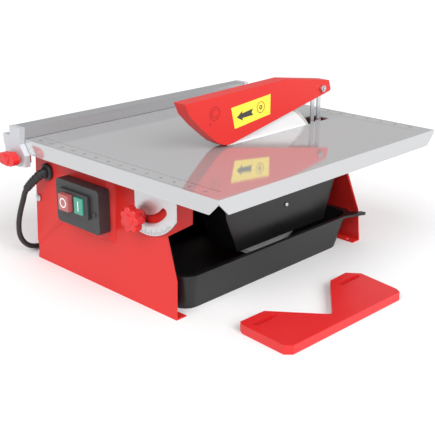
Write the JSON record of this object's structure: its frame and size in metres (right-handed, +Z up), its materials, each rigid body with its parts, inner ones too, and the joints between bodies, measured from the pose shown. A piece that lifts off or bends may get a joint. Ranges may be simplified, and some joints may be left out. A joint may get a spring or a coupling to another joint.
{
  "type": "tile cutter",
  "caption": "Table-top wet tile cutter: folded red base, tilting steel table with rip fence, guarded disc blade, water tray and switch.",
  "frame": {"origin": "on the bench under the middle of the table, on the underside of the water tray", "axes": "+X to the right along the switch side, away from the fence; +Y to the back; +Z up, out of the work table"},
  "size_m": [0.496, 0.405, 0.216],
  "materials": {
    "red_paint": "semi-gloss powder coat",
    "red_plastic": "satin moulded plastic",
    "table_steel": "polished, finely brushed",
    "zinc_steel": "zinc plated",
    "fence_aluminium": "extruded, satin",
    "blade_steel": "ground",
    "black_plastic": "fine texture",
    "tray_plastic": "satin moulded plastic",
    "cord_rubber": "matte",
    "green_button": "glossy",
    "red_button": "glossy",
    "motor_paint": "satin",
    "copper_winding": "varnished",
    "capacitor_white": "smooth"
  },
  "bodies": {
    "base": {"front_panel": "red_paint", "rear_panel": "red_paint", "left_panel": "red_paint", "motor_bridge": "zinc_steel", "panel_screw_front": "zinc_steel", "panel_screw_rear": "zinc_steel", "capacitor_clamp": "zinc_steel", "housing_screw": "zinc_steel", "knife_bracket": "zinc_steel", "knife_screw": "zinc_steel", "tilt_bolt_front": "zinc_steel", "tilt_bolt_rear": "zinc_steel", "tilt_pivot_front": "zinc_steel", "tilt_pivot_rear": "zinc_steel", "guard_bolt": "zinc_steel", "guard_nut": "zinc_steel", "motor_flange": "fence_aluminium", "riving_knife": "blade_steel", "bearing_left": "blade_steel", "bearing_right": "blade_steel", "switch_plate": "black_plastic", "switch_module": "black_plastic", "switch_screw_1": "black_plastic", "switch_screw_2": "black_plastic", "cord_gland": "black_plastic", "plug": "black_plastic", "motor_end_cap": "black_plastic", "blade_housing": "tray_plastic", "power_cord": "cord_rubber", "cord_coil": "cord_rubber", "cord_tail": "cord_rubber", "motor_housing": "motor_paint", "stator": "copper_winding", "capacitor": "capacitor_white"},
    "arbor": {"motor_shaft": "blade_steel", "rotor": "zinc_steel", "cooling_fan": "black_plastic", "inner_flange": "zinc_steel", "blade": "blade_steel", "outer_flange": "zinc_steel", "arbor_nut": "zinc_steel"},
    "table": {"table_top": "table_steel", "quadrant_front": "zinc_steel", "quadrant_rear": "zinc_steel"},
    "fence": {"fence_rail": "fence_aluminium", "fence_bracket_front": "fence_aluminium", "fence_bracket_rear": "fence_aluminium", "fence_jaw_front": "zinc_steel", "fence_jaw_rear": "zinc_steel", "fence_bolt_front": "zinc_steel", "fence_bolt_rear": "zinc_steel"},
    "fence_knob_front": {"fence_knob_front": "red_plastic"},
    "fence_knob_rear": {"fence_knob_rear": "red_plastic"},
    "tilt_knob_front": {"tilt_knob_front": "red_plastic"},
    "tilt_knob_rear": {"tilt_knob_rear": "red_plastic"},
    "guard": {"guard": "red_paint"},
    "off_button": {"off_button": "red_button"},
    "on_button": {"on_button": "green_button"},
    "water_tray": {"water_tray": "tray_plastic"},
    "corner_guide": {"corner_guide": "red_plastic"}
  },
  "joints": [
    {"name": "table_tilt", "type": "hinge", "parent": "base", "child": "table", "pos_m": [0.037, 0, 0.138], "axis": [0, 1, 0], "range_deg": [0, 45]},
    {"name": "blade_spin", "type": "hinge", "parent": "base", "child": "arbor", "pos_m": [0.037, 0.034, 0.098], "axis": [1, 0, 0], "continuous": true},
    {"name": "fence_slide", "type": "slide", "parent": "table", "child": "fence", "axis": [1, 0, 0], "range_m": [0, 0.125]},
    {"name": "fence_knob_front_turn", "type": "hinge", "parent": "fence", "child": "fence_knob_front", "pos_m": [-0.15, -0.196, 0.1335], "axis": [0, 1, 0], "continuous": true},
    {"name": "fence_knob_rear_turn", "type": "hinge", "parent": "fence", "child": "fence_knob_rear", "pos_m": [-0.15, 0.196, 0.1335], "axis": [0, 1, 0], "continuous": true},
    {"name": "tilt_knob_front_turn", "type": "hinge", "parent": "base", "child": "tilt_knob_front", "pos_m": [0.03073, -0.17, 0.10052], "axis": [0, 1, 0], "continuous": true},
    {"name": "tilt_knob_rear_turn", "type": "hinge", "parent": "base", "child": "tilt_knob_rear", "pos_m": [0.03073, 0.17, 0.10052], "axis": [0, 1, 0], "continuous": true},
    {"name": "guard_lift", "type": "hinge", "parent": "base", "child": "guard", "pos_m": [0.037, 0.118, 0.196], "axis": [-1, 0, 0], "range_deg": [0, 50]},
    {"name": "off_press", "type": "slide", "parent": "base", "child": "off_button", "axis": [0, 1, 0], "range_m": [0, 0.003], "stiffness_N_per_m": 300, "springref_m": -0.001},
    {"name": "on_press", "type": "slide", "parent": "base", "child": "on_button", "axis": [0, 1, 0], "range_m": [0, 0.003], "stiffness_N_per_m": 300, "springref_m": -0.001},
    {"name": "tray_slide", "type": "slide", "parent": "base", "child": "water_tray", "axis": [1, 0, 0], "range_m": [0, 0.055]},
    {"name": "guide_slide", "type": "slide", "parent": "base", "child": "corner_guide", "axis": [1, 0, 0], "range_m": [0, 0.06]}
  ],
  "couplings": [
    {"joint": "guard_lift", "follows": "table_tilt", "ratio": 1.1111}
  ]
}
